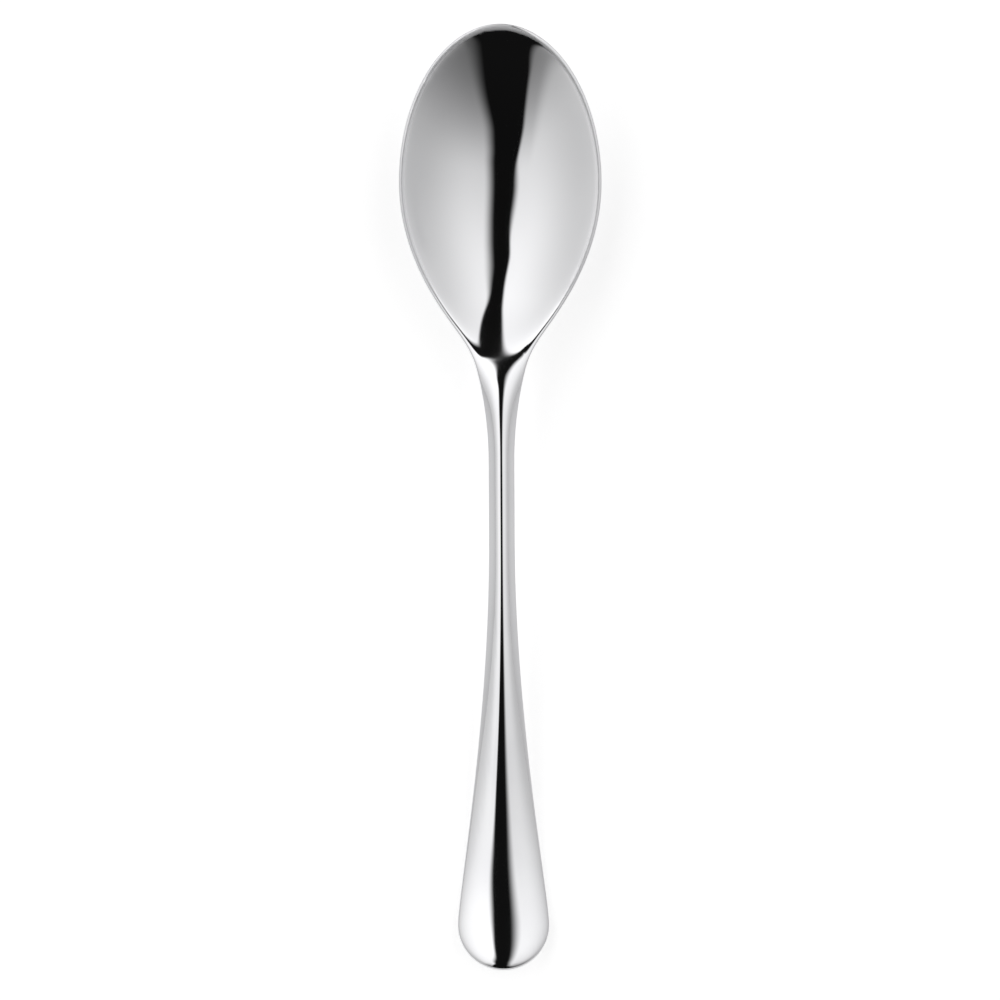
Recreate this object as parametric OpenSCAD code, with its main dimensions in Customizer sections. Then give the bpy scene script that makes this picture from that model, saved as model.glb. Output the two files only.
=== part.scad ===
// Teaspoon forged in one length of steel: a dished bowl, a neck, a slim stem and a flared handle.
// It lies on the table with the hollow of the bowl upwards.
// X runs across the spoon, Y along it with the tip of the bowl at +Y, Z up from the table.
// Stations are counted along the spoon from the tip of the bowl.

/* [Spoon] */
// Length from the tip of the bowl to the end of the handle
spoon_l = 140; // [128:0.5:156]
// Height of the crest of the arch above the table
spoon_h = 12.1; // [11.5:0.1:15]

/* [Bowl] */
// Length of the bowl from its tip to its root
bowl_l = 49.6; // [46:0.1:54]
// Width of the bowl at its widest
bowl_w = 30; // [26:0.1:34]
// Distance from the tip to the widest and deepest place
bowl_widest = 23.2; // [19:0.1:27]
// Width to which the sides of the bowl close in at its root, before the corner is filled
bowl_end_w = 5.2; // [4:0.1:6.5]
// Depth of the hollow below the rim
bowl_depth = 8; // [5.5:0.1:9]
// Upright thickness of the rim
rim_t = 1.3; // [1:0.1:2]
// Metal that the bottom of the bowl has over the thickness of the rim
bowl_floor = 0.15; // [0:0.05:0.6]
// Distance from the outline over which the edge of the rim is rounded
rim_round = 0.62; // [0.5:0.02:0.9]
// Distance from the outline to the inner edge of the rim's land
rim_land = 0.5; // [0.3:0.05:0.8]
// Height of the rim's tip above the rim's lowest place
tip_lift = 4.6; // [2:0.1:5.5]
// Distance from the root back to the rim's lowest place
rim_low = 9.8; // [6:0.1:13]

/* [Neck] */
// Width of the neck at the root of the bowl, before the corner is filled
neck_w = 7.8; // [6.5:0.1:9]
// Length of the neck from the root to the stem
neck_l = 14.8; // [12:0.1:19]
// Width over which the corner between bowl and neck is filled
neck_fillet = 2.8; // [1.5:0.1:4]
// Length over which the dome of the neck rises
neck_rise = 9.2; // [6:0.1:13]
// Slope at which the bottom of the hollow runs up through the root
root_slope = 0.29; // [0.2:0.01:0.5]
// Distance before the root at which that slope and the dome begin
root_lead = 0.8; // [0:0.1:2]
// Height over which the edge between hollow and neck is rounded
root_round = 0.12; // [0.1:0.01:0.3]
// Length before the root over which the back of the bowl thickens into the neck
neck_heel = 10; // [6:0.5:14]

/* [Stem] */
// Width of the stem
stem_w = 3.8; // [3.2:0.1:5]
// Length of the stem from the neck to the handle
stem_l = 12; // [9:0.5:18]
// Thickness of the stem's side below its crown
stem_side = 0.8; // [0.6:0.1:1.8]
// Height of the crown on top of the stem and of the one below it
stem_crown = 1.5; // [1:0.05:1.8]
// Distance from the outline over which the stem's side is rounded
stem_round = 0.65; // [0.4:0.05:0.75]
// Distance from the root of the bowl to the crest of the arch
crest_at = 6.4; // [5:0.1:14]
// Radius of the arch at its crest, seen from the side
crest_r = 86; // [50:1:120]

/* [Handle] */
// Width of the handle at its widest
handle_w = 13.6; // [10:0.1:16]
// Length of the handle's rounded end
handle_end = 6.5; // [5:0.1:8]
// Thickness of the handle's side below its crown
handle_side = 1.2; // [0.8:0.1:2]
// Height of the crown on top of the handle
handle_crown = 1.65; // [1:0.05:2.2]
// Height of the crown below the handle
handle_belly = 0.3; // [0.1:0.05:0.8]
// Distance from the outline over which the handle's side is rounded
handle_round = 1.1; // [0.7:0.1:1.6]
// Distance over which the stem's width goes on into the handle
handle_lead = 26.5; // [18:0.5:30]
// Distance from the handle's end back to the place where it lies on the table
handle_lie = 14; // [11:0.5:22]
// Height of the handle's end above that place
end_lift = 2.5; // [0.5:0.1:3.5]

/* [Facets] */
// Facets across the upper side of a section, and as many across the lower side
across = 28; // [16:2:32]
// Stations from the tip to the widest place of the bowl
tip_steps = 22; // [14:1:26]
// Stations from the widest place to the root
flank_steps = 26; // [16:1:30]
// Stations along the neck
neck_steps = 18; // [12:1:22]
// Stations along the stem
stem_steps = 8; // [4:1:12]
// Stations along the flare of the handle
flare_steps = 26; // [16:1:30]
// Stations round the end of the handle
end_steps = 14; // [10:1:18]

/* [Hidden] */

// stations where the zones meet
root_s = bowl_l;
stem_s = root_s + neck_l;
flare_s = stem_s + stem_l;
end_s = spoon_l - handle_end;

// stations where the edge runs level: the rim's lowest place, the crest and where the handle lies
low_s = root_s - rim_low;
crest_s = root_s + crest_at;
lie_s = spoon_l - handle_lie;

// bends of the edge there, seen from the side
rim_bend = 2 * tip_lift / pow(low_s, 2);
crest_bend = -1 / crest_r;
end_bend = 2 * end_lift / pow(handle_lie, 2);

// heights of the edge above the table at the crest and where the handle lies
crest_z = spoon_h - stem_crown - stem_side / 2;
rest_z = handle_belly + handle_side / 2;

// reach of the flare's last handle, for an even bend into the rounded end
flare_reach = handle_end * sqrt(2 / 3 * (handle_w - stem_w) / handle_w);

// how fast the stations thin out on both sides of the root
thin_out = 1.5;

// turn over which the facets crowd towards the outline
crowding = 81;

// how gently the hollow runs out at the root
run_out = 1.63;

// height over which the slope at the root sets in
ramp_round = 0.4;

// share of the hollow's depth over which the inner edge of the land is rounded
land_round = 0.03;

// steel with a mirror polish
steel = [0.78, 0.78, 0.80];

// larger of two values, rounded where they lie within k of each other
function soft_max(a, b, k) =
    max(a, b) + pow(max(k - abs(a - b), 0), 3) / (6 * k * k);

// smaller of two values, rounded in the same way
function soft_min(a, b, k) = -soft_max(-a, -b, k);

// share that rises smoothly from 0 at s0 to 1 at s1
function rise(s, s0, s1) =
    let (t = min(max((s - s0) / (s1 - s0), 0), 1))
    t * t * t * (10 + t * (6 * t - 15));

// curve between two level places of heights z0 and z1 and bends k0 and k1, a length l apart
function swing(z0, k0, z1, k1, l, t) =
    let (
        b0 = k0 * l * l,
        b1 = k1 * l * l,
        p = z1 - z0 - b0 / 2,
        c3 = 10 * p + 4 * b0 + (b1 - b0) / 2,
        c4 = -15 * p - 7 * b0 - (b1 - b0),
        c5 = 6 * p + 3 * b0 + (b1 - b0) / 2
    )
    z0 + t * t * (b0 / 2 + t * (c3 + t * (c4 + t * c5)));

// height of the rim above its lowest place
function sweep(s) = rim_bend / 2 * pow(low_s - s, 2);

// height of the edge, seen from the side
function edge_z(s) =
    s < low_s ? rim_z + sweep(s)
    : s < crest_s ? swing(rim_z, rim_bend, crest_z, crest_bend, crest_s - low_s,
        (s - low_s) / (crest_s - low_s))
    : s < lie_s ? swing(crest_z, crest_bend, rest_z, end_bend, lie_s - crest_s,
        (s - crest_s) / (lie_s - crest_s))
    : rest_z + end_bend / 2 * pow(s - lie_s, 2);

// share of the way from the widest place of the bowl to its root, and on past it
function flank_t(s) = max(s - bowl_widest, 0) / (root_s - bowl_widest);

// share of the bowl's depth along its middle: even in its bend past the widest place, 0 at the root
function dish(s) =
    let (t = min(flank_t(s), 1), bend = pow((root_s - bowl_widest) / bowl_widest, 2) / run_out)
    pow(max(1 - t * t * (bend + (1 - bend) * t * t), 0), run_out);

// share of the way out to a rounded end: 0 along the body, 1 at the tip and at the handle's end
function end_share(s) =
    max(bowl_widest - s, 0) / bowl_widest + max(s - end_s, 0) / handle_end;

// crown of the upper side behind the root
function crown(s) =
    let (t = min(max((s - root_s + root_lead) / neck_rise, 0), 1))
    (stem_crown + (handle_crown - stem_crown) * rise(s, flare_s, lie_s)) * t * (2 - t);

// height to which the bottom of the hollow has run up at the root
function ramp(s) = soft_max(root_slope * (s - root_s + root_lead), 0, ramp_round);

// crown of the lower side: the back of the bowl, then a shallow dome
function belly(s) =
    let (dome = stem_crown + (handle_belly - stem_crown) * rise(s, flare_s, lie_s))
    dome * rise(s, root_s - neck_heel, root_s) + (bowl_depth + bowl_floor) * dish(s);

// value that goes from the bowl's through the neck to the stem's and on to the handle's
function zone(s, at_bowl, at_stem, at_handle) =
    at_bowl + (at_stem - at_bowl) * rise(s, root_s - neck_l / 2, stem_s)
    + (at_handle - at_stem) * rise(s, flare_s, lie_s);

// half-width that a section belongs to: the full one round the tip and round the handle's end
function full_w(station) =
    station[0] < bowl_widest ? bowl_w / 2
    : station[0] > end_s ? handle_w / 2
    : station[1];

// heights of a section at the share u of its half-width, as [upper side, lower side]
function sides_z(station, u) =
    let (
        s = station[0],
        v = end_share(s),
        w = full_w(station),
        out = v * v + (1 - v * v) * u * u,
        fall = s > end_s ? pow(u * station[1] / w, 2) : out,
        hollow = soft_max(1 - fall / pow(1 - rim_land / w, 2), 0, land_round),
        upper = soft_min(ramp(s) - bowl_depth * dish(s) * hollow, crown(s) * (1 - fall), root_round),
        lower = -belly(s) * (1 - fall),
        tight = w / zone(s, rim_round, stem_round, handle_round),
        side = zone(s, rim_t, stem_side, handle_side) / 2 + (upper - lower) / 2,
        half = side * sqrt(max(1 - pow(out, tight / 2), 0))
    )
    [edge_z(s) + (upper + lower) / 2 + half, edge_z(s) + (upper + lower) / 2 - half];

// half-width of the bowl's flank and of the neck, with the corner between them filled
function flank_w(s) =
    let (
        t = max(stem_s - s, 0) / neck_l,
        flank = bowl_w / 2 - (bowl_w - bowl_end_w) / 2 * pow(flank_t(s), 2),
        neck = stem_w / 2 + (neck_w - stem_w) / 2 * (t < 1 ? t * t : 2 * t - 1)
    )
    soft_max(flank, neck, neck_fillet);

// point of a cubic curve with the ends a and d and the handles b and c
function cubic(a, b, c, d, t) =
    pow(1 - t, 3) * a + 3 * pow(1 - t, 2) * t * b + 3 * (1 - t) * t * t * c + t * t * t * d;

// stations of each zone, as [distance from the tip, half-width]
tip_line = [
    for (i = [1:tip_steps - 1])
        let (a = 90 * i / tip_steps)
        [bowl_widest * (1 - cos(a)), bowl_w / 2 * sin(a)]
];
flank_line = [
    for (i = [0:flank_steps])
        let (s = root_s - (root_s - bowl_widest) * pow(1 - i / flank_steps, thin_out))
        [s, flank_w(s)]
];
neck_line = [
    for (i = [0:neck_steps])
        let (s = root_s + neck_l * pow(i / neck_steps, thin_out))
        [s, flank_w(s)]
];
stem_line = [
    for (i = [0:stem_steps])
        [stem_s + stem_l * i / stem_steps, stem_w / 2]
];
flare_line = [
    for (i = [0:flare_steps])
        let (t = i / flare_steps)
        [
            cubic(flare_s, flare_s + handle_lead, end_s - flare_reach, end_s, t),
            cubic(stem_w, stem_w, handle_w, handle_w, t) / 2
        ]
];
end_line = [
    for (i = [1:end_steps - 1])
        let (a = 90 * i / end_steps)
        [end_s + handle_end * sin(a), handle_w / 2 * cos(a)]
];

// height of the rim's lowest place, for a bowl whose back touches the table
rim_z = -min([for (station = flank_line) sweep(station[0]) - rim_t / 2 - belly(station[0])]);

// closed section at a station: the upper side from -X to +X, then the lower side back
function section(station) = [
    for (i = [0:2 * across - 1])
        let (u = -sin(crowding * cos(180 * i / across)) / sin(crowding), z = sides_z(station, u))
        [u * station[1], spoon_l / 2 - station[0], i < across ? z[0] : z[1]]
];

// middle of a section, where the facets that close an end meet
function hub(station) =
    let (z = sides_z(station, 0))
    [0, spoon_l / 2 - station[0], (z[0] + z[1]) / 2];

// solid through a row of stations, closed at both ends round the middles of the stations given
module loft(line, front, back) {
    ring = 2 * across;
    count = len(line) * ring;
    points = concat([for (station = line) each section(station)], [hub(front), hub(back)]);
    skin = [
        for (a = [0:ring:count - 2 * ring], i = [0:ring - 1])
            let (k = (i + 1) % ring)
            each [[a + i, a + k, a + ring + k], [a + i, a + ring + k, a + ring + i]]
    ];
    front_fan = [for (i = [0:ring - 1]) [(i + 1) % ring, i, count]];
    back_fan = [for (i = [0:ring - 1]) [count - ring + i, count - ring + (i + 1) % ring, count + 1]];
    polyhedron(points, concat(skin, front_fan, back_fan));
}

module bowl() {
    color(steel) loft(concat(tip_line, flank_line), [0, 0], flank_line[flank_steps]);
}

module neck() {
    color(steel) loft(neck_line, neck_line[0], neck_line[neck_steps]);
}

module stem() {
    color(steel) loft(stem_line, stem_line[0], stem_line[stem_steps]);
}

module handle() {
    color(steel) loft(concat(flare_line, end_line), flare_line[0], [spoon_l, 0]);
}

bowl();
neck();
stem();
handle();
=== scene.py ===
"""Teaspoon: one forging of mirror-polished steel on a pale floor, under a soft light tent.

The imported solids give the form. Copies of the four zones are welded into one skin, rounded by
subdivision and parted again along the same rings, so that the polish runs unbroken over the joints.
"""

import logging
import math
from dataclasses import dataclass, field
from enum import Enum
from typing import Mapping, Optional, Sequence, Tuple, Union

import bmesh
import bpy
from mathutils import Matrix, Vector


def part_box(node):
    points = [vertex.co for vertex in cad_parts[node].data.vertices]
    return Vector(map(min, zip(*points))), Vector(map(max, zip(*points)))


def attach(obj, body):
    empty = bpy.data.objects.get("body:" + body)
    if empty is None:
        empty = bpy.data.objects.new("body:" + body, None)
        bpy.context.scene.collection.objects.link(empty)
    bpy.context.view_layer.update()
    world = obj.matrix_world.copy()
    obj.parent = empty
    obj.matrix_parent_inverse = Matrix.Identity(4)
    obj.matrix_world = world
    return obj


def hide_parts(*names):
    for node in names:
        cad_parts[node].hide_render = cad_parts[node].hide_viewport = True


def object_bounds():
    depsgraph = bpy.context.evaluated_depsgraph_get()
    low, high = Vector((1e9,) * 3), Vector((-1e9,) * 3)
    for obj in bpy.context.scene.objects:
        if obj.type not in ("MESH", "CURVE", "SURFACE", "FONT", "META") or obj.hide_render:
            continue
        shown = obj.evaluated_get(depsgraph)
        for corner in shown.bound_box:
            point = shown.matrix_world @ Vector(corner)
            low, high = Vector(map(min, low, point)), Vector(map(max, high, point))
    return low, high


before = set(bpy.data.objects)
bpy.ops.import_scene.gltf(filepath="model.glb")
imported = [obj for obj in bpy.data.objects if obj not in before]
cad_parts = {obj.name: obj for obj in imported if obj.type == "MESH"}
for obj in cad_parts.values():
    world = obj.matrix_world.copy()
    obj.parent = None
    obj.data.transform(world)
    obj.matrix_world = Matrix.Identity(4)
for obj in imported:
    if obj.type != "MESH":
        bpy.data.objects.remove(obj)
CAD_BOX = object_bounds()

BODY = "root"
MILLIMETRE = 0.001
MICROMETRE = 0.000001

# attributes on the points of the spoon's skin
POLISH = "polish"
SHARPNESS = "sharpness"

# sockets of a Mix node that blends colours
MIX_FIRST = 6
MIX_SECOND = 7
MIX_RESULT = 2

Colour = Tuple[float, float, float]
Key = Union[int, str]

log = logging.getLogger("teaspoon")


class Zone(Enum):
    """The lengths of the spoon that a cutler names, from the tip to the end of the handle."""

    BOWL = "bowl"
    NECK = "neck"
    STEM = "stem"
    HANDLE = "handle"


class Value:
    """A number on a shader socket, to which Python's operators add Math nodes."""

    def __init__(self, graph: "Graph", socket: Optional[bpy.types.NodeSocket]) -> None:
        """Keeps the socket and the graph that it belongs to."""
        self.graph = graph
        self.socket = socket

    def math(self, operation: str, left: "Operand", right: "Operand") -> "Value":
        """Adds one Math node.

        Args:
            operation: The node's operation.
            left: Its first operand.
            right: Its second operand.

        Returns:
            The node's result.
        """
        return self.graph.node("ShaderNodeMath", {"operation": operation}, {0: left, 1: right})

    def __add__(self, other: "Operand") -> "Value":
        """This value plus another."""
        return self.math("ADD", self, other)

    def __radd__(self, other: float) -> "Value":
        """A number plus this value."""
        return self.math("ADD", other, self)

    def __sub__(self, other: "Operand") -> "Value":
        """This value less another."""
        return self.math("SUBTRACT", self, other)

    def __rsub__(self, other: float) -> "Value":
        """A number less this value."""
        return self.math("SUBTRACT", other, self)

    def __mul__(self, other: "Operand") -> "Value":
        """This value times another."""
        return self.math("MULTIPLY", self, other)

    def __rmul__(self, other: float) -> "Value":
        """A number times this value."""
        return self.math("MULTIPLY", other, self)

    def at_least(self, floor: float) -> "Value":
        """This value, or the floor where that is higher."""
        return self.math("MAXIMUM", self, floor)

    def at_most(self, ceiling: float) -> "Value":
        """This value, or the ceiling where that is lower."""
        return self.math("MINIMUM", self, ceiling)


Operand = Union[Value, float]
Feed = Union[Value, float, Colour, Sequence[float]]


class Graph:
    """A node tree that is written as expressions."""

    def __init__(self, tree: bpy.types.NodeTree) -> None:
        """Takes a node tree and empties it."""
        self.tree = tree
        self.tree.nodes.clear()

    def node(
        self,
        kind: str,
        settings: Optional[Mapping[str, object]] = None,
        inputs: Optional[Mapping[Key, Feed]] = None,
        output: Key = 0,
    ) -> Value:
        """Adds a node.

        Args:
            kind: The node's type.
            settings: Its properties, which are set before its sockets.
            inputs: What each socket holds: a value to link, or a number, colour or vector.
            output: The socket that is handed on.

        Returns:
            The chosen output, or an empty value on a node that has none.
        """
        made = self.tree.nodes.new(kind)
        for name, setting in (settings or {}).items():
            setattr(made, name, setting)
        for key, feed in (inputs or {}).items():
            socket = made.inputs[key]
            if isinstance(feed, Value):
                self.tree.links.new(feed.socket, socket)
            else:
                socket.default_value = feed
        return Value(self, made.outputs[output] if made.outputs else None)

    def part(self, vector: Value, axis: str) -> Value:
        """The part of a vector along X, Y or Z."""
        return self.node("ShaderNodeSeparateXYZ", None, {"Vector": vector}, output=axis)

    def ramp(
        self,
        value: Value,
        start: Operand,
        end: Operand,
        low: float = 0.0,
        high: float = 1.0,
    ) -> Value:
        """Eases from one level to another.

        Args:
            value: The number that is followed.
            start: Where the result leaves the low level.
            end: Where it reaches the high level.
            low: The level at the start.
            high: The level at the end.

        Returns:
            The eased level, flat outside the span.
        """
        span = {"Value": value, "From Min": start, "From Max": end, "To Min": low, "To Max": high}
        return self.node("ShaderNodeMapRange", {"interpolation_type": "SMOOTHSTEP"}, span)

    def noise(self, place: Value, scale: Sequence[float], detail: float) -> Value:
        """Makes a soft random pattern.

        Args:
            place: Object coordinates in metres.
            scale: Waves in a metre along each axis.
            detail: Octaves of finer pattern.

        Returns:
            The pattern, about 0 to 1.
        """
        laid = self.node("ShaderNodeMapping", None, {"Vector": place, "Scale": scale})
        return self.node("ShaderNodeTexNoise", None, {"Vector": laid, "Scale": 1.0, "Detail": detail})

    def mix(self, share: Value, first: Feed, second: Feed) -> Value:
        """Blends two colours.

        Args:
            share: How much of the second colour shows.
            first: The colour where the share is 0.
            second: The colour where it is 1.

        Returns:
            The blended colour.
        """
        blend = {"Factor": share, MIX_FIRST: first, MIX_SECOND: second}
        return self.node("ShaderNodeMix", {"data_type": "RGBA"}, blend, output=MIX_RESULT)


@dataclass(frozen=True)
class PolishedSteel:
    """Stainless steel, buffed lengthwise to a mirror, with painted shade in the bowl's hollow and
    scuffed on its rim.

    The painted shade darkens the colour with depth and runs out along the neck. The scuffs lie where the
    surface turns by so many radians in a metre, and run out along the bowl towards its root.
    """

    bright: Colour = (0.80, 0.80, 0.81)
    dull: Colour = (0.75, 0.75, 0.765)
    hollow_shade: Colour = (0.635, 0.635, 0.645)
    # painted shade: the colour deep in the bowl's hollow, with the heights and the places along the
    # spoon over which it fades in
    edge_tint: Colour = (0.45, 0.45, 0.46)
    unshaded_height: float = 11 * MILLIMETRE
    shaded_height: float = 1.4 * MILLIMETRE
    shade_starts: float = 8 * MILLIMETRE
    shade_is_full: float = 16 * MILLIMETRE
    scuff_starts: float = 300.0
    scuff_is_full: float = 900.0
    scuffed_from: float = 26 * MILLIMETRE
    scuffed_fully: float = 34 * MILLIMETRE
    scuff_roughness: float = 0.42
    roughness: float = 0.03
    haze_roughness: float = 0.035
    haze_size: float = 16 * MILLIMETRE
    haze_detail: float = 4.0
    haze_starts: float = 0.35
    haze_is_full: float = 0.75
    hairline_width: float = 0.22 * MILLIMETRE
    hairline_length: float = 14 * MILLIMETRE
    hairline_roughness: float = 0.02
    hairline_depth: float = 0.02 * MICROMETRE
    hairline_detail: float = 2.0
    wave_size: float = 9 * MILLIMETRE
    wave_depth: float = 3 * MICROMETRE
    wave_detail: float = 0.0

    def material(self) -> bpy.types.Material:
        """Writes the finish as nodes.

        Returns:
            The material, whose colour, gloss and relief all vary over the surface.
        """
        made = bpy.data.materials.new("polished_steel")
        made.use_nodes = True
        graph = Graph(made.node_tree)
        place = graph.node("ShaderNodeTexCoord", output="Object")
        along = graph.part(place, "Y")
        patches = graph.noise(place, [1 / self.haze_size] * 3, self.haze_detail)
        haze = graph.ramp(patches, self.haze_starts, self.haze_is_full)
        across = 1 / self.hairline_width
        hairline = graph.noise(place, (across, 1 / self.hairline_length, across), self.hairline_detail)
        wave = graph.noise(place, [1 / self.wave_size] * 3, self.wave_detail)
        # painted shade: the colour darkens with depth in the bowl's hollow and fades out towards the
        # neck
        depth = graph.ramp(graph.part(place, "Z"), self.unshaded_height, self.shaded_height)
        shade_share = depth * graph.ramp(along, self.shade_starts, self.shade_is_full)
        sharpness = graph.node("ShaderNodeAttribute", {"attribute_name": SHARPNESS}, output="Fac")
        edge = graph.ramp(sharpness, self.scuff_starts, self.scuff_is_full)
        scuff = edge * graph.ramp(along, self.scuffed_from, self.scuffed_fully)
        handled = graph.mix(haze, (*self.bright, 1.0), (*self.dull, 1.0))
        colour = graph.mix(shade_share, handled, (*self.hollow_shade, 1.0))
        relief = wave * self.wave_depth + hairline * self.hairline_depth
        buffed = self.roughness + haze * self.haze_roughness + hairline * self.hairline_roughness
        surface = graph.node(
            "ShaderNodeBsdfPrincipled",
            None,
            {
                "Base Color": colour,
                "Metallic": 1.0,
                "Specular Tint": (*self.edge_tint, 1.0),
                "Roughness": buffed + scuff * self.scuff_roughness,
                "Normal": graph.node("ShaderNodeBump", None, {"Distance": 1.0, "Height": relief}),
            },
        )
        graph.node("ShaderNodeOutputMaterial", None, {"Surface": surface})
        return made


@dataclass(frozen=True)
class WhitePaper:
    """Matt white paper with a glow, which the eye and the steel see alike, with the spoon's shadow.

    The glow is plain white from straight above and fades to pale grey at a slant, a painted shade that
    the steel's edges reflect.
    """

    albedo: Colour = (0.86, 0.86, 0.86)
    shade: Colour = (0.66, 0.66, 0.66)
    glow: float = 0.62
    # painted shade: how much the glow fades at a slant
    slant_shade: float = 0.5
    grain_size: float = 1.5 * MILLIMETRE
    grain_depth: float = 8 * MICROMETRE
    grain_detail: float = 3.0

    def material(self) -> bpy.types.Material:
        """Writes the paper as nodes.

        Returns:
            The material.
        """
        made = bpy.data.materials.new("white_paper")
        made.use_nodes = True
        graph = Graph(made.node_tree)
        place = graph.node("ShaderNodeTexCoord", output="Object")
        grain = graph.noise(place, [1 / self.grain_size] * 3, self.grain_detail)
        relief = graph.node("ShaderNodeBump", None, {"Distance": self.grain_depth, "Height": grain})
        lit, shade = (
            graph.node("ShaderNodeBsdfDiffuse", None, {"Color": (*colour, 1.0), "Normal": relief})
            for colour in (self.albedo, self.shade)
        )
        # painted shade: the glow fades at a slant, so the steel's edges reflect a darker floor
        slant = graph.node("ShaderNodeLayerWeight", output="Facing")
        glow = graph.node("ShaderNodeEmission", None, {"Color": self.glow - slant * self.slant_shade})
        seen_white = graph.node("ShaderNodeAddShader", None, {0: shade, 1: glow})
        rays = ("Is Camera Ray", "Is Glossy Ray", "Is Transmission Ray")
        camera, glossy, transmission = (graph.node("ShaderNodeLightPath", output=ray) for ray in rays)
        seen = (camera + glossy + transmission).at_most(1.0)
        surface = graph.node("ShaderNodeMixShader", None, {0: seen, 1: lit, 2: seen_white})
        graph.node("ShaderNodeOutputMaterial", None, {"Surface": surface})
        return made


@dataclass
class Forging:
    """The spoon as one length of steel, from the tip of the bowl to the end of the handle.

    More faces than the grid's meet at the tip and at the end of the handle, in a fan of triangles.
    """

    finish: PolishedSteel
    weld: float = 0.001 * MILLIMETRE
    grid_faces: int = 8
    rounding_levels: int = 2
    pieces: list[bpy.types.Object] = field(default_factory=list)

    def build(self) -> None:
        """Makes one closed, polished piece for each zone."""
        skin = self.rounded(self.welded())
        self.mark(skin)
        material = self.finish.material()
        for index, zone in enumerate(Zone):
            piece = self.parted(skin, index, zone)
            piece.data.materials.append(material)
            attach(piece, BODY)
            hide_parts(zone.value)
            self.pieces.append(piece)
        bpy.data.meshes.remove(skin)

    def welded(self) -> bmesh.types.BMesh:
        """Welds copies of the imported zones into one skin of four-sided faces.

        Returns:
            The skin, with each face's zone in its material index.
        """
        shape = bmesh.new()
        for index, zone in enumerate(Zone):
            first = len(shape.faces)
            shape.from_mesh(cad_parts[zone.value].data)
            shape.faces.ensure_lookup_table()
            for face in shape.faces[first:]:
                face.material_index = index
        bmesh.ops.remove_doubles(shape, verts=shape.verts, dist=self.weld)
        joints = [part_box(zone.value)[0].y for zone in list(Zone)[:-1]]
        inner = [face for face in shape.faces if any(self.lies_at(face, joint) for joint in joints)]
        bmesh.ops.delete(shape, geom=inner, context="FACES")
        poles = [vert for vert in shape.verts if len(vert.link_faces) > self.grid_faces]
        fans = {face for pole in poles for face in pole.link_faces}
        bmesh.ops.join_triangles(
            shape,
            faces=[face for face in shape.faces if face not in fans],
            cmp_materials=True,
            angle_face_threshold=math.pi,
            angle_shape_threshold=math.pi,
        )
        bmesh.ops.recalc_face_normals(shape, faces=shape.faces)
        return shape

    def lies_at(self, face: bmesh.types.BMFace, joint: float) -> bool:
        """Tells whether all of a face lies in the cross-plane at that place along the spoon."""
        return all(abs(vert.co.y - joint) < self.weld for vert in face.verts)

    def rounded(self, shape: bmesh.types.BMesh) -> bpy.types.Mesh:
        """Rounds the skin by subdivision.

        Args:
            shape: The welded skin, which is freed.

        Returns:
            A mesh of the rounded skin.
        """
        coarse = bpy.data.meshes.new("coarse_skin")
        shape.to_mesh(coarse)
        shape.free()
        holder = bpy.data.objects.new("coarse_skin", coarse)
        bpy.context.scene.collection.objects.link(holder)
        rounding = holder.modifiers.new("rounding", "SUBSURF")
        rounding.levels = self.rounding_levels
        rounding.render_levels = self.rounding_levels
        depsgraph = bpy.context.evaluated_depsgraph_get()
        fine = bpy.data.meshes.new_from_object(holder.evaluated_get(depsgraph))
        bpy.data.objects.remove(holder)
        bpy.data.meshes.remove(coarse)
        return fine

    def mark(self, skin: bpy.types.Mesh) -> None:
        """Writes the normal and the sharpness of each point on the whole skin, before it is parted.

        Args:
            skin: The rounded skin.
        """
        shape = bmesh.new()
        shape.from_mesh(skin)
        polish = shape.verts.layers.float_vector.new(POLISH)
        sharpness = shape.verts.layers.float.new(SHARPNESS)
        for vert in shape.verts:
            vert[polish] = vert.normal
            vert[sharpness] = self.turn(vert)
        shape.to_mesh(skin)
        shape.free()

    @staticmethod
    def turn(vert: bmesh.types.BMVert) -> float:
        """How fast the surface turns at a point, at the most, in radians for each metre."""
        near = {other for face in vert.link_faces for other in face.verts if other is not vert}
        return max(vert.normal.angle(other.normal, 0.0) / (vert.co - other.co).length for other in near)

    def parted(self, skin: bpy.types.Mesh, index: int, zone: Zone) -> bpy.types.Object:
        """Parts one zone from the skin and closes it where it meets its neighbours.

        Args:
            skin: The rounded skin, with its marks.
            index: The zone's material index in it.
            zone: The zone.

        Returns:
            The zone's object, linked to the scene.
        """
        shape = bmesh.new()
        shape.from_mesh(skin)
        others = [face for face in shape.faces if face.material_index != index]
        bmesh.ops.delete(shape, geom=others, context="FACES")
        for face in shape.faces:
            face.smooth = True
            face.material_index = 0
        open_edges = [edge for edge in shape.edges if edge.is_boundary]
        for cap in bmesh.ops.holes_fill(shape, edges=open_edges, sides=0)["faces"]:
            cap.smooth = False
        bmesh.ops.recalc_face_normals(shape, faces=shape.faces)
        mesh = bpy.data.meshes.new(f"polished_{zone.value}")
        shape.to_mesh(mesh)
        shape.free()
        self.carry_normals(mesh)
        piece = bpy.data.objects.new(f"polished_{zone.value}", mesh)
        bpy.context.scene.collection.objects.link(piece)
        return piece

    @staticmethod
    def carry_normals(mesh: bpy.types.Mesh) -> None:
        """Gives a zone the normals of the whole skin, so that reflections cross the joints unbroken.

        Args:
            mesh: The zone's mesh, whose flat faces close it at the joints.
        """
        polish = [tuple(item.vector) for item in mesh.attributes[POLISH].data]
        normals = []
        for polygon in mesh.polygons:
            for corner in polygon.vertices:
                normals.append(polish[corner] if polygon.use_smooth else tuple(polygon.normal))
        mesh.attributes.remove(mesh.attributes[POLISH])
        mesh.normals_split_custom_set(normals)


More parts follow.
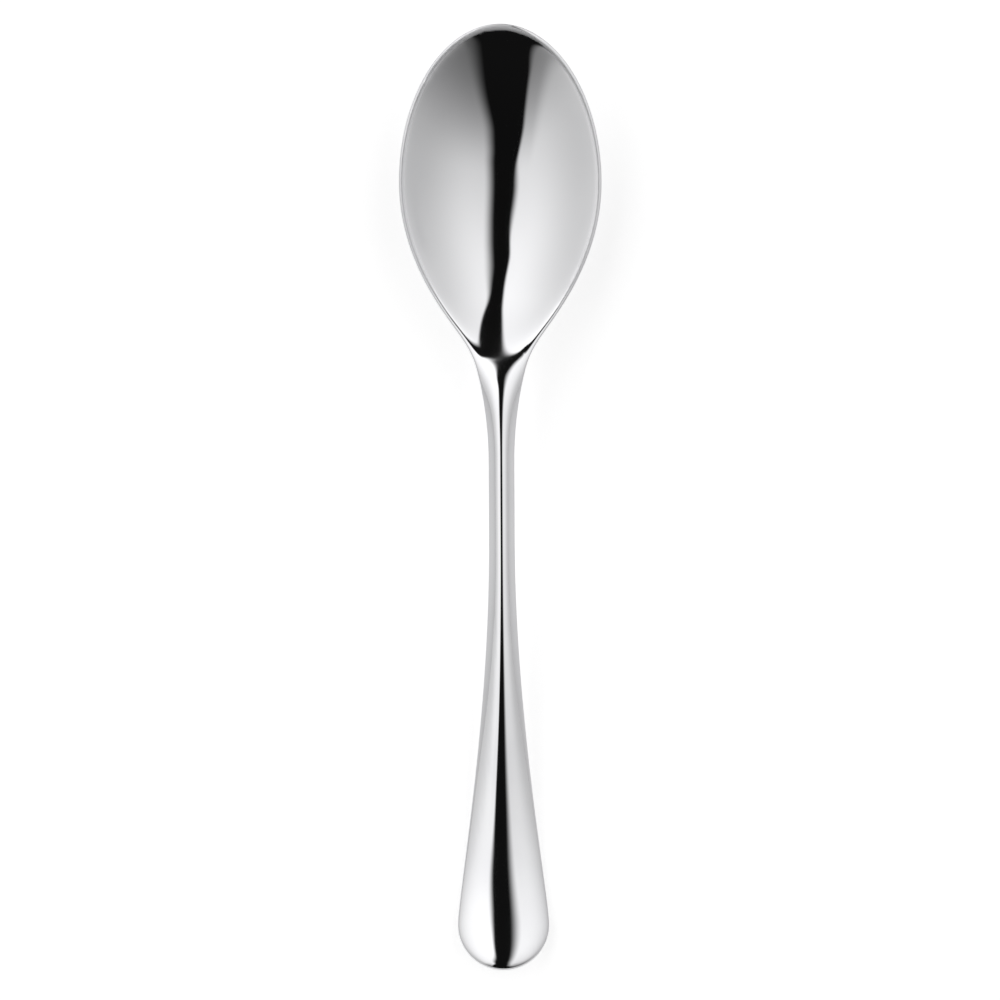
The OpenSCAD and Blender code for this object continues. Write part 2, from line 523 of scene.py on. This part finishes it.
@dataclass
class Floor:
    """The sheet of paper that the spoon lies on."""

    finish: WhitePaper
    half_width: float = 3.0
    segments: int = 8

    def build(self) -> bpy.types.Object:
        """Lays the paper under the lowest point of the spoon.

        Returns:
            The floor.
        """
        shape = bmesh.new()
        bmesh.ops.create_grid(
            shape,
            x_segments=self.segments,
            y_segments=self.segments,
            size=self.half_width,
        )
        bmesh.ops.translate(shape, verts=shape.verts, vec=(0.0, 0.0, CAD_BOX[0].z))
        mesh = bpy.data.meshes.new("floor")
        shape.to_mesh(mesh)
        shape.free()
        mesh.materials.append(self.finish.material())
        made = bpy.data.objects.new("floor", mesh)
        bpy.context.scene.collection.objects.link(made)
        return made


class Side(Enum):
    """The side of the slot that a cloth hangs on, as the sign of x."""

    LEFT = -1.0
    RIGHT = 1.0


@dataclass(frozen=True)
class Bend:
    """A stretch along one part of a direction, over which a measure of a cloth changes."""

    start: float
    end: float
    change: float

    def at(self, graph: Graph, part: Value) -> Value:
        """The change so far at a place along that part."""
        return graph.ramp(part, self.start, self.end, 0.0, self.change)


@dataclass(frozen=True)
class Cloth:
    """One white cloth, from its edge at the slot down to the floor, which darkens towards its far end.

    The edge lies at a place along x, and is blurred by as much to either side. It and its blur bend
    along y, and the far end bends along x. The slope is the change of level along y.
    """

    side: Side
    edge: float
    edge_bends: Tuple[Bend, ...]
    blur: float
    blur_bends: Tuple[Bend, ...]
    level: float
    slope: float
    end_bends: Tuple[Bend, ...]
    far_end: float = -1.2
    near_end: float = -0.22
    end_share: float = 0.13

    def light(self, graph: Graph, x: Value, y: Value) -> Value:
        """Writes the cloth's light.

        Args:
            graph: The world's nodes.
            x: The direction's part to the right.
            y: The direction's part towards the tip of the bowl.

        Returns:
            The level, which is 0 in the slot.
        """
        across = x - self.edge
        for bend in self.edge_bends:
            across = across - bend.at(graph, y)
        blur: Operand = self.blur
        for bend in self.blur_bends:
            blur = blur + bend.at(graph, y)
        hung = graph.ramp(self.side.value * across, 0.0 - blur, blur)
        along = y
        for bend in self.end_bends:
            along = along + bend.at(graph, self.side.value * x)
        end = graph.ramp(along, self.far_end, self.near_end, self.end_share, 1.0)
        return hung * end * (self.level + self.slope * y)


@dataclass
class LightTent:
    """Two white cloths, left and right, with an open slot overhead that the camera looks through.

    Places are parts of a direction of length 1: x to the right, y towards the tip of the bowl.
    """

    left: Cloth = Cloth(
        side=Side.LEFT,
        edge=-0.357,
        edge_bends=(
            Bend(-0.97, -0.84, -0.08),
            Bend(-0.65, -0.3, 0.09),
            Bend(-0.15, 0.45, 0.14),
            Bend(0.5, 0.86, 0.175),
        ),
        blur=0.035,
        blur_bends=(Bend(-0.45, -0.15, 0.045), Bend(0.1, 0.45, -0.045)),
        level=1.23,
        slope=0.34,
        end_bends=(Bend(0.55, 0.7, 0.22),),
    )
    right: Cloth = Cloth(
        side=Side.RIGHT,
        edge=0.33,
        edge_bends=(
            Bend(-0.9, -0.62, -0.12),
            Bend(-0.5, -0.35, 0.02),
            Bend(-0.2, 0.3, 0.03),
            Bend(0.4, 0.65, -0.02),
            Bend(0.74, 0.9, 0.13),
        ),
        blur=0.135,
        blur_bends=(Bend(0.6, 0.86, -0.105),),
        level=1.07,
        slope=0.42,
        end_bends=(),
    )
    slot_level: float = 0.006
    horizon_share: float = 0.62
    horizon_height: float = 0.85
    brightest: float = 1.4

    def build(self) -> bpy.types.World:
        """Writes the tent as the world's light.

        Returns:
            The world, set on the scene.
        """
        made = bpy.data.worlds.new("light_tent")
        made.use_nodes = True
        graph = Graph(made.node_tree)
        direction = graph.node("ShaderNodeTexCoord", output="Generated")
        x, y, z = (graph.part(direction, axis) for axis in "XYZ")
        cloth = self.left.light(graph, x, y) + self.right.light(graph, x, y)
        height = graph.ramp(z, 0.0, self.horizon_height, self.horizon_share, 1.0)
        level = (cloth * height).at_least(self.slot_level).at_most(self.brightest)
        light = graph.node("ShaderNodeBackground", None, {"Color": level})
        graph.node("ShaderNodeOutputWorld", None, {"Surface": light})
        bpy.context.scene.world = made
        return made


@dataclass
class PhotoCamera:
    """The camera straight above the spoon, with the bowl at the top of the frame.

    The spoon's middle lies a little right of the frame's middle and above it.
    """

    frame_width: float = 148.27 * MILLIMETRE
    lens: float = 200.0
    sensor: float = 36.0
    spoon_right: float = 0.25 * MILLIMETRE
    spoon_up: float = 0.11 * MILLIMETRE
    roll: float = math.radians(-0.26)

    def build(self) -> bpy.types.Object:
        """Places the camera.

        Returns:
            The camera, set on the scene.
        """
        data = bpy.data.cameras.new("photo_camera")
        data.lens = self.lens
        data.sensor_width = self.sensor
        made = bpy.data.objects.new("photo_camera", data)
        middle = (CAD_BOX[0] + CAD_BOX[1]) / 2
        distance = self.frame_width * self.lens / self.sensor
        made.location = middle + Vector((-self.spoon_right, -self.spoon_up, distance))
        made.rotation_euler = (0.0, 0.0, self.roll)
        bpy.context.scene.collection.objects.link(made)
        bpy.context.scene.camera = made
        return made


def main() -> None:
    """Builds the spoon, the floor, the light and the camera, and reports each piece."""
    logging.basicConfig(level=logging.INFO, format="%(name)s: %(message)s")
    bpy.context.scene.view_settings.view_transform = "Standard"
    PhotoCamera().build()
    LightTent().build()
    Floor(WhitePaper()).build()
    forging = Forging(PolishedSteel())
    forging.build()
    for piece in forging.pieces:
        log.info("%s: %d faces", piece.name, len(piece.data.polygons))


if __name__ == "__main__":
    main()
